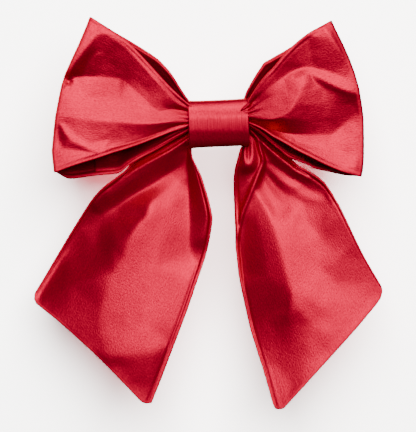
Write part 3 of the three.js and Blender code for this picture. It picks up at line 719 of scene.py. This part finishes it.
LEFT_TAIL["folds"] = [
    # outer edge, cut edge and inner edge
    [(-14, -1.4, -2.4), (-18.5, -3.4, -2.6), (-30, -9.2, -3), (-40, -15.2, -3.2), (-50, -20.8, -3.2),
     (-56, -26.6, -2.8), (-60, -31.4, -2), (-70, -38.8, -2), (-76, -44, -4), (-85, -55.5, -7.6),
     (-95, -71.5, -10.2), (-105, -88.3, -11.2), (-118, -110, -10)],
    [(-118, -110, -10), (-117, -116, -8.6), (-102.4, -127.6, -1.6), (-82.9, -145, 4), (-65.2, -162.6, 6),
     (-49, -179.4, 5.8), (-43.4, -180, 5.6)],
    [(-14, -12, 0), (-17.2, -16, 0.6), (-17, -22.5, 0.8), (-14, -29, 1.6), (-9, -42, 2.8), (-5, -57, 3.4),
     (-4.4, -63, 3.2), (-6, -74, 1.4), (-8, -83, -0.6), (-10.4, -91, 0), (-15.6, -106, 1.9),
     (-25, -132.5, 4.2), (-31.3, -149, 4.6), (-43.4, -180, 5.6)],
    # two pleats beside the outer edge, with the hollows behind them
    [(-14, -4.2, -2.8), (-19, -6.6, -3), (-30, -12.8, -3.4), (-40, -18.6, -3.6), (-50, -24, -3.6),
     (-57, -29, -3)],
    [(-14, -5.4, -0.4), (-18.5, -7.8, -0.4), (-30, -14.2, -0.8), (-40, -20, -1.1), (-50, -25.3, -1.3),
     (-58, -30.6, -1.6)],
    [(-14, -6.4, -2), (-19.5, -9.2, -2.4), (-30, -15.8, -2.9), (-40, -21.4, -3.1), (-50, -26.8, -3.2),
     (-60, -33, -3.1), (-70, -39.5, -3)],
    [(-14, -7.4, 0.4), (-18.4, -9.4, 0.8), (-21.5, -11.6, 0.8), (-30, -17.2, 0.6), (-40, -22.6, 0.5),
     (-50, -28, 0.2), (-60, -34.2, -0.6), (-70, -40.4, -2.2), (-76, -46.6, -3.8), (-80, -51, -5.2)],
    [(-20.6, -13, -1), (-30, -19, -0.8), (-40, -24.6, -0.9), (-50, -30, -1.2), (-60, -36, -2),
     (-69, -42, -3.4)],
    [(-21.4, -16.4, -2.2), (-30, -22.4, -2.2), (-40, -28, -2), (-50, -33.4, -2), (-60, -39.6, -2.4),
     (-70, -46.6, -3.8)],
    [(-23, -27, -4.8), (-32, -33, -5.4), (-43, -41, -5.4), (-54, -47, -5.8), (-66, -54.5, -7),
     (-78, -62, -8.4)],
    # roof between the dark side and the bright side
    [(-25, -38, -3.8), (-32, -43, -2.6), (-38, -47, -1), (-43, -51, 0.8), (-45, -55, 1.8), (-45.4, -59, 2.2),
     (-52, -66, 2.6), (-58, -76, 2.8), (-61, -86, 2.9), (-64.5, -93.5, 3), (-70.5, -104, 3.2),
     (-75, -118, 3.8), (-76, -132, 4.6), (-73, -146, 5.8)],
    # groove inside the outer edge
    [(-82.4, -57.2, -8.8), (-92.3, -73.1, -11.8), (-102.2, -90, -12.8), (-114.4, -110, -11.6)],
    # crease across the dark side, high and low
    [(-75, -64.4, -8), (-60, -61.4, -3.2), (-50, -60.6, 0.2)],
    [(-64, -56.4, -6.2), (-56, -54.8, -3), (-48, -54, 0.1)],
    [(-66, -78, 0.4), (-76, -80, -5.4), (-90, -83, -10)],
    [(-68, -97.6, 3), (-80, -100.6, 1.1), (-95, -105, -3.4), (-108, -110, -7.8)],
    [(-68, -92, 2), (-84, -93, -4.2), (-97, -95, -8.2)],
    # bright side
    [(-30, -50, -1.4), (-33, -62, 0), (-39, -85, 2.2), (-44, -106, 4.2), (-47, -130, 6)],
    # dark strip inside the inner edge
    [(-19.6, -15, -2.8), (-20.4, -24, -4), (-19.4, -34, -4), (-19, -44, -4.2), (-19, -54, -3.5),
     (-18.6, -63, -2.6), (-19, -72, -2), (-18.6, -80, -1.8), (-16, -87, -1.6), (-12.6, -91.5, -1)],
    [(-14, -44, -0.6), (-11.4, -54, 0.8), (-10, -63, 1.2), (-11.6, -74, 0.8)],
    # rounded fold over the point, with small creases
    [(-74, -147, 5.8), (-70, -150, 6.6), (-58, -150, 7.4), (-45, -149, 7.3), (-37, -145.6, 6.3),
     (-31, -142, 4.8)],
    [(-66, -156, 6), (-54, -157, 6.9), (-42, -156, 6.6)],
    [(-56, -164.6, 6.5), (-44, -165, 6.3)],
    [(-56, -168, 6.1), (-44, -168.6, 5.8)],
]
RIGHT_TAIL = {
    "outer": [
        (14, 3), (19, 0), (25, -3.6), (30, -7.6), (35, -12), (40, -16.4), (45, -21.6), (50, -27.2),
        (56, -30.6), (62, -34), (68, -38.8), (72, -44.5), (76.5, -52), (80, -59), (85, -69.5), (90, -80),
        (95, -89.5), (103.4, -103.8),
    ],
    "inner": [
        (14, -9), (17.5, -11), (14.5, -17), (12.5, -24), (11, -30), (10.3, -36), (10.3, -45), (10.8, -58),
        (11.3, -70), (11.4, -80), (12.3, -88), (13.3, -97), (15, -106.2), (18, -120), (20.5, -131),
        (24, -143), (28.7, -157.6), (32, -169), (35.6, -182),
    ],
    "cut": [
        (103.4, -103.8), (104.8, -106.2), (105.2, -108.6), (104, -112.8), (101, -117), (90, -130.2),
        (80, -141.4), (70, -152.4), (60, -163.4), (50, -174.4), (43.5, -181.6), (41.4, -183.6), (38.4, -184),
        (36.6, -183.6), (35.6, -182),
    ],
    "seed": 7.7,
}
RIGHT_TAIL["folds"] = [
    # outer edge, cut edge and inner edge
    [(14, 3, -2.4), (19, 0, -2.6), (30, -7.6, -3), (40, -16.4, -3), (45, -21.6, -2.8), (50, -27.2, -1.4),
     (56, -30.6, -0.4), (62, -34, 1.4), (68, -38.8, 2), (72, -44.5, 2.6), (76.5, -52, 3.4), (85, -69.5, 3.4),
     (95, -89.5, 2.2), (104.8, -107, 2)],
    [(104.8, -107, 2), (101, -117, 2.6), (80, -141.4, 5.8), (60, -163.4, 7), (42, -183.4, 6.6),
     (35.6, -182.6, 5.8)],
    [(14, -9, -2.4), (17.5, -11, -2.6), (14.5, -17, -3.2), (11, -30, -4.4), (10.3, -45, -6.6),
     (10.8, -58, -6.6), (11.3, -70, -5), (11.6, -80, -4.4), (13.3, -97, -4.6), (18, -120, -4.6),
     (20.5, -131, -4.2), (28.7, -157.6, 1), (35.6, -182, 5.8)],
    # folded edge of the front layer over the rear one
    [(20.4, -5, 0.6), (23.4, -8, 1), (25.4, -10, 1.2), (25.8, -13, 1.3), (27, -18, 1.4), (28.7, -24, 1.5),
     (28, -26.8, 1.4), (26.7, -30, 1.2), (22.5, -40, 0.6), (18.5, -50, -0.2), (15.5, -58, -0.9),
     (13.6, -66, -1.6), (12.8, -74, -2)],
    [(19.6, -7, -2.6), (23.8, -10.8, -3.4), (24.4, -14, -3.6), (25.6, -19, -3.8), (27.2, -24, -3.8),
     (25.2, -30.5, -3.6), (21, -40.3, -3.6), (17, -50.3, -4), (14.2, -58, -4.4), (12.6, -66, -4.2)],
    [(27.2, -13, -2), (28.6, -18, -3.2), (30.2, -24, -3.6), (28.4, -30, -2.4), (24.2, -40, -2),
     (20.2, -50, -2.8), (17, -58, -3.8), (15, -66, -5.2), (14.2, -74, -5.8), (14.6, -86, -6),
     (16.2, -98, -5.6)],
    # bulge on the rear layer
    [(18, -12, -1.4), (16.9, -18, -0.8), (17, -24, 0.2), (18, -28.4, 0.6)],
    [(21.6, -12.5, -1.6), (21.8, -19, -0.8), (21.3, -24, 0.2), (20.4, -28.2, 0.5)],
    [(19.6, -13, -3.2), (19.4, -20, -2.6), (19.2, -24, -1)],
    [(13, -32.6, -4.4), (17.5, -32.8, -4), (22, -31.4, -3.8)],
    [(13.8, -24, -2.8), (12.8, -29, -2.8)],
    # two thin pleats beside the outer edge
    [(16, -1, -3), (20, -2.2, -3.2), (30, -10.8, -3.4), (40, -19.2, -3.4), (48, -25, -3)],
    [(17, -2.4, -0.6), (20.4, -4, -0.6), (25, -7.6, -0.7), (30, -12.2, -0.8), (35, -16.4, -0.9),
     (40, -20.4, -1), (45, -24.2, -1), (51, -28.4, -0.8)],
    [(24.6, -8.2, -2.2), (30, -13.2, -2.4), (35, -17.4, -2.5), (40, -21.4, -2.5), (45, -25.2, -2.4),
     (52, -30, -2), (58, -33, -1.4)],
    [(26, -10.4, 0.4), (30, -14.2, 0.6), (35, -18.4, 0.6), (40, -22.4, 0.6), (45, -26.2, 0.8),
     (52, -31, 1.2), (58, -34.2, 1.8)],
    # deep shadow under the loop
    [(31.4, -18.6, -1.4), (35, -22.4, -1.4), (41, -27, -1.2), (48, -32, -1), (55, -36.6, -0.8),
     (62, -40.6, -0.4), (69, -44.4, 0.4)],
    [(36, -27.4, -3), (44, -33.6, -2.6), (52, -38.6, -2), (60, -44, -1.2), (68, -48, 0.2)],
    # streaks that fan out of the knot
    [(31, -28.4, -3.4), (36, -33.4, -2.6), (42, -38.4, -1.8), (49, -42.6, -1.2)],
    [(29.6, -31, -4.6), (33.4, -36.2, -4.3), (37.4, -40.8, -3.8), (42, -45, -3), (46.4, -48.4, -2.2)],
    [(28.4, -31.8, -4.4), (31.4, -37, -4.2), (35.4, -42, -3.7), (40, -46.6, -2.9), (47, -52, -1.8)],
    [(27, -34, -4.8), (30, -39.6, -4.5), (34, -45.2, -3.9), (38, -49.8, -3), (43, -54.8, -1.8)],
    [(26, -37.6, -3.9), (29, -44, -3.6), (34, -52, -2.4), (38, -60, -0.6)],
    # crease from the outer edge
    [(47, -47, -2.2), (53, -50.6, -1.7), (62, -53.2, -0.2), (70, -53, 1.2), (76, -52.2, 2.3)],
    [(49, -44.8, -1.8), (55, -47.6, -1), (62, -49.6, 0.1), (70, -50, 1.4), (75, -50, 2.3)],
    # roof between the dark strip and the bright side
    [(26, -48, -1.8), (33, -60, 0.6), (38, -75, 2.6), (42, -90, 4), (44.4, -99, 4.7), (46.2, -106, 5),
     (47, -112.4, 5.2), (45.4, -117.4, 4.8)],
    [(22, -52, -2.6), (25.6, -64, -1), (28.2, -77, 0), (30, -90, 0.6), (32, -99, 1.2)],
    [(43.4, -118.6, 3.2), (33, -123, -0.4), (22, -130.6, -3.8)],
    [(41, -122, 2.8), (31, -128.4, -0.9)],
    [(45.6, -122.6, 4.6), (52, -122, 5.2), (58.6, -121.6, 4.8), (60.4, -130, 5), (57, -145, 5.2),
     (51, -157, 4.8), (46, -168, 4.8)],
    [(46, -131, 3.6), (41, -143, 2.1), (37, -156, 1.7)],
    # bright side
    [(46, -62, 0.9), (48, -80, 2.7), (51, -100, 4.2), (62, -116, 4.9)],
    [(56, -64, -0.2), (66, -74, 0.8), (78, -86, 2.5)],
    [(64, -90, 2), (74, -104, 2.4), (78, -118, 3.9), (70, -136, 6)],
    [(90, -104, 2.2), (88, -120, 3.6)],
]


def build_tail(side, tail):
    nu, nv = 190, 110
    seed = tail["seed"]
    outer, inner = line(tail["outer"], nu), line(tail["inner"], nu)
    cut = line(tail["cut"], nv, curved=False)
    grid = coons(line([outer[0], inner[0]], nv), cut, outer, inner)
    height = draped(grid, tail["folds"], TAIL_SHARPNESS, TAIL_SPREAD) + lip(grid)
    u = np.linspace(0, 1, nu)[:, None]
    v = np.linspace(0, 1, nv)[None]
    crumple = ripple(grid, seed, (34, 46), 0.8) + ripple(grid, seed + 3, (8, 7), 0.08)
    height = height * (1 + (TAIL_RELIEF - 1) * eased(u / TAIL_RELIEF_FROM))
    height = height + crumple * np.sin(np.pi * v) ** 0.5 * np.clip(u * 4, 0, 1)
    middle = placed(grid[..., 0], grid[..., 1], height)
    piece = cloth(f"{side}_tail_satin", middle, end_seam=True, flat=(0.2, 0.1), start=(0.3, 0))
    piece.data.materials.append(SATIN)
    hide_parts(f"{side}_tail_upper", f"{side}_tail_lower")
    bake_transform(piece)
    return piece


TAILS = [build_tail("left", LEFT_TAIL), build_tail("right", RIGHT_TAIL)]


# ---- Knot --------------------------------------------------------------------------------------

KNOT_Y, KNOT_Z, KNOT_TILT = -19.6, -0.7, math.radians(-2.5)
KNOT_HALF, KNOT_HALF_HEIGHT, KNOT_HALF_DEPTH = 18.8, 15.0, 10.6
KNOT_SQUARENESS, WAIST_SQUARENESS = 4.2, 2.4  # 2 is an ellipse
WAIST_HALF = 17.6
KNOT_SKIN = 0.5  # from the outside of the wrap to its middle
KNOT_WAY_ROUND = 0.997  # the rest is the gap at the back seam


def tilted(points):
    """From the knot's own place to the row frame."""
    c, s = math.cos(KNOT_TILT), math.sin(KNOT_TILT)
    x, y, z = points[..., 0], points[..., 1], points[..., 2]
    return np.stack([x * c + z * s, y + KNOT_Y, -x * s + z * c + KNOT_Z], axis=-1)


def squared(wave, squareness):
    """A sine or cosine filled out, so that the ellipse that it draws turns into a rounded box."""
    return np.sign(wave) * np.abs(wave) ** (2 / squareness)


def knot_wrap():
    """A flat tube of satin round the middle, v along it from left to right and u round it from the back."""
    nu, nv = 220, 60
    u = np.linspace(0, 1, nu)[:, None]
    v = np.linspace(-1, 1, nv)[None]
    angle = np.pi / 2 - 2 * np.pi * u * KNOT_WAY_ROUND - 0.01
    pull = 1 + 0.012 * v**2
    y = (KNOT_HALF_DEPTH - KNOT_SKIN) * squared(np.sin(angle), KNOT_SQUARENESS) * pull
    z = (KNOT_HALF_HEIGHT - KNOT_SKIN) * squared(np.cos(angle), KNOT_SQUARENESS) * pull
    x = (KNOT_HALF - 0.2) * v * (1 - 0.01 * np.cos(angle)) + 0 * u
    front = np.clip(-np.sin(angle), 0, 1)
    crease = 0.06 * np.sin(0.9 * z + 0.9 * v) + 0.05 * np.sin(0.33 * z + 0.5 + 0.4 * v)
    y = y - crease * front + front * 0.015 * np.clip(1.5 - z, 0, None) ** 2
    points = tilted(np.stack([x, y, z], axis=-1))
    piece = cloth("knot_wrap_satin", points, flat=(0.08, 0.037), start=(0.6, 0.03))
    piece.data.materials.append(SATIN)
    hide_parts("knot_wrap")
    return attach(piece, "bow")


def waist(name, node, half_height, half_depth, y, z):
    """A gathered bundle of pleats inside the knot."""
    around, stations = 160, 40
    a = np.linspace(0, 2 * np.pi, around, endpoint=False)
    rings = []
    for k in range(stations):
        s = -1 + 2 * k / (stations - 1)
        drawn = 1 - 0.16 * math.exp(-((s / 0.22) ** 2))
        pleat = 1 + 0.05 * np.cos(14 * a + 0.4 * math.sin(4 * s)) - 0.03
        x = np.full(around, WAIST_HALF * s)
        ring_y = y - KNOT_Y + half_depth * drawn * pleat * squared(np.cos(a), WAIST_SQUARENESS)
        ring_z = z + half_height * drawn * pleat * squared(np.sin(a), WAIST_SQUARENESS)
        rings.append(tilted(np.stack([x, ring_y, ring_z], axis=-1)))
    obj = new_piece(name, np.vstack(rings), sleeve(stations, around) + lids(stations, around))
    place = np.arange(stations * around)
    lay_weave(obj.data, place // around * 0.001, place % around * 0.0006)
    obj.data.materials.append(SATIN_PAINTED_SHADE)
    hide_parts(node)
    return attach(obj, "bow")


WRAP = knot_wrap()
WAISTS = [
    waist("loop_waist_pleats", "loop_waist", 11.4, 3.4, -23.2, 0.6),
    waist("tail_waist_pleats", "tail_waist", 11, 1.8, -16.9, -1.2),
]

# ---- Metal and thread --------------------------------------------------------------------------

STRAND = 0.17  # radius of one of a thread's two strands, in mm
STITCHES = 5
FINISH = {"nickel": NICKEL, "spring_steel": SPRING_STEEL}
for part in frame["record"]["subparts"]:
    node = frame["nodes"][part["node"]]
    if part["material_slot"] in FINISH:
        node.data.materials.clear()
        node.data.materials.append(FINISH[part["material_slot"]])


def twisted(name, node, path, lay):
    """A thread of two strands laid round a path of points, one turn in every lay of its length."""
    path = np.array(path)
    along = np.gradient(path, axis=0)
    along /= np.linalg.norm(along, axis=1, keepdims=True)
    side = np.cross(along, [0.3, 0.2, 0.93])
    side /= np.linalg.norm(side, axis=1, keepdims=True)
    up = np.cross(side, along)
    run = np.concatenate([[0], np.cumsum(np.linalg.norm(np.diff(path, axis=0), axis=1))])
    sides = 8
    around = np.arange(sides) * 2 * np.pi / sides
    verts, faces = [], []
    for strand in (0, 1):
        turn = 2 * np.pi * run / lay + np.pi * strand
        centre = path + STRAND * (side * np.cos(turn)[:, None] + up * np.sin(turn)[:, None])
        base = len(verts) * sides
        for c, s, u in zip(centre, side, up):
            verts.append([c + STRAND * (s * math.cos(a) + u * math.sin(a)) for a in around])
        faces += sleeve(len(path), sides, base) + lids(len(path), sides, base)
    obj = new_piece(name, np.array(verts).reshape(-1, 3), faces)
    obj.data.materials.append(THREAD)
    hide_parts(node)
    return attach(obj, "bow")


def middle_and_half(node):
    low, high = (np.array(corner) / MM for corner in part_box(node))
    return (low + high) / 2, (high - low) / 2


def whip_stitch(number):
    """A slanted stitch over the wrap's back seam, with both ends sunk into the fabric."""
    node = f"wrap_stitch_{number}"
    centre, half = middle_and_half(node)
    t = np.linspace(-1, 1, 25)
    path = centre + np.stack([half[0] * 0.8 * t, 0.1 - 0.9 * t**4, half[2] * t], axis=1)
    twisted(f"{node}_thread", node, path, 1.4)


def gathering(node, turns=4):
    """The thread wound round a gathered waist."""
    centre, half = middle_and_half(node)
    t = np.linspace(0, turns, turns * 48)
    a = 2 * np.pi * t
    rise = (t / turns - 0.5) * 4 * STRAND * turns
    ring = np.stack([rise, (half[1] - 2 * STRAND) * np.cos(a), (half[2] - 2 * STRAND) * np.sin(a)], axis=1)
    twisted(f"{node}_wound", node, centre + ring, 1.6)


for number in range(1, STITCHES + 1):
    whip_stitch(number)
for node in ("loop_gather_thread", "tail_gather_thread"):
    gathering(node)


def spring():
    """The bowed tension bar: a copy of its CAD mesh in spring steel, fixed to the bow."""
    node = "barrette_tension_bar"
    obj = bpy.data.objects.new("tension_bar_spring", frame["nodes"][node].data.copy())
    obj.data.materials.clear()
    obj.data.materials.append(SPRING_STEEL)
    scene.collection.objects.link(obj)
    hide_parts(node)
    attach(obj, "bow")
    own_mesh(obj)


spring()

# ---- Stage -------------------------------------------------------------------------------------


def backdrop(name, colour, one_sided):
    """Matt white. A one-sided backdrop is clear from behind."""
    m, nodes, links, _ = new_material(name)
    nodes.clear()
    out = nodes.new("ShaderNodeOutputMaterial")
    matt = nodes.new("ShaderNodeBsdfDiffuse")
    matt.inputs["Color"].default_value = (*colour, 1)
    links.new(matt.outputs["BSDF"], out.inputs["Surface"])
    if one_sided:
        side = nodes.new("ShaderNodeNewGeometry")
        clear = nodes.new("ShaderNodeBsdfTransparent")
        choose = nodes.new("ShaderNodeMixShader")
        links.new(side.outputs["Backfacing"], choose.inputs["Fac"])
        links.new(matt.outputs["BSDF"], choose.inputs[1])
        links.new(clear.outputs["BSDF"], choose.inputs[2])
        links.new(choose.outputs["Shader"], out.inputs["Surface"])
    return m


def plane(name, corners, material):
    mesh = bpy.data.meshes.new(name)
    mesh.from_pydata([tuple(c) for c in corners], [], [(0, 1, 2, 3)])
    mesh.materials.append(material)
    obj = bpy.data.objects.new(name, mesh)
    scene.collection.objects.link(obj)
    return obj


WALL_WHITE = (4.2, 4.14, 4.04)  # over one, so that the wall burns out as white paper does behind the bow
FLOOR_WHITE = (0.8, 0.8, 0.8)
back = WALL_Y * MM
wall_corners = [(-1.2, back, -0.4), (1.2, back, -0.4), (1.2, back, 1.2), (-1.2, back, 1.2)]
wall = plane("wall", wall_corners, backdrop("wall", WALL_WHITE, True))
wall.visible_shadow = wall.visible_diffuse = wall.visible_glossy = False
floor_corners = [(-2, -2.5, -0.3), (2, -2.5, -0.3), (2, 1.5, -0.3), (-2, 1.5, -0.3)]
floor = plane("floor", floor_corners, backdrop("floor", FLOOR_WHITE, False))
floor.visible_diffuse = floor.visible_glossy = False


def area_light(name, place, target, size, power):
    """A square soft light, its power in watts."""
    data = bpy.data.lights.new(name, "AREA")
    data.size = size
    data.energy = power
    obj = bpy.data.objects.new(name, data)
    obj.location = place
    obj.rotation_euler = (Vector(target) - Vector(place)).to_track_quat("-Z", "Y").to_euler()
    scene.collection.objects.link(obj)
    return obj


CENTRE = (0, 0, -0.05)
area_light("key", (0.25, -1.95, 1.04), CENTRE, 2.2, 126)
area_light("fill", (-1.3, -1.0, 0.1), CENTRE, 1.0, 1.0)
area_light("behind", (-0.7, 1.5, 0.8), CENTRE, 2.0, 90)

world = bpy.data.worlds.new("world")
scene.world = world
world.use_nodes = True
sky = world.node_tree.nodes["Background"]
sky.inputs["Color"].default_value = (1, 1, 1, 1)
sky.inputs["Strength"].default_value = 0.035
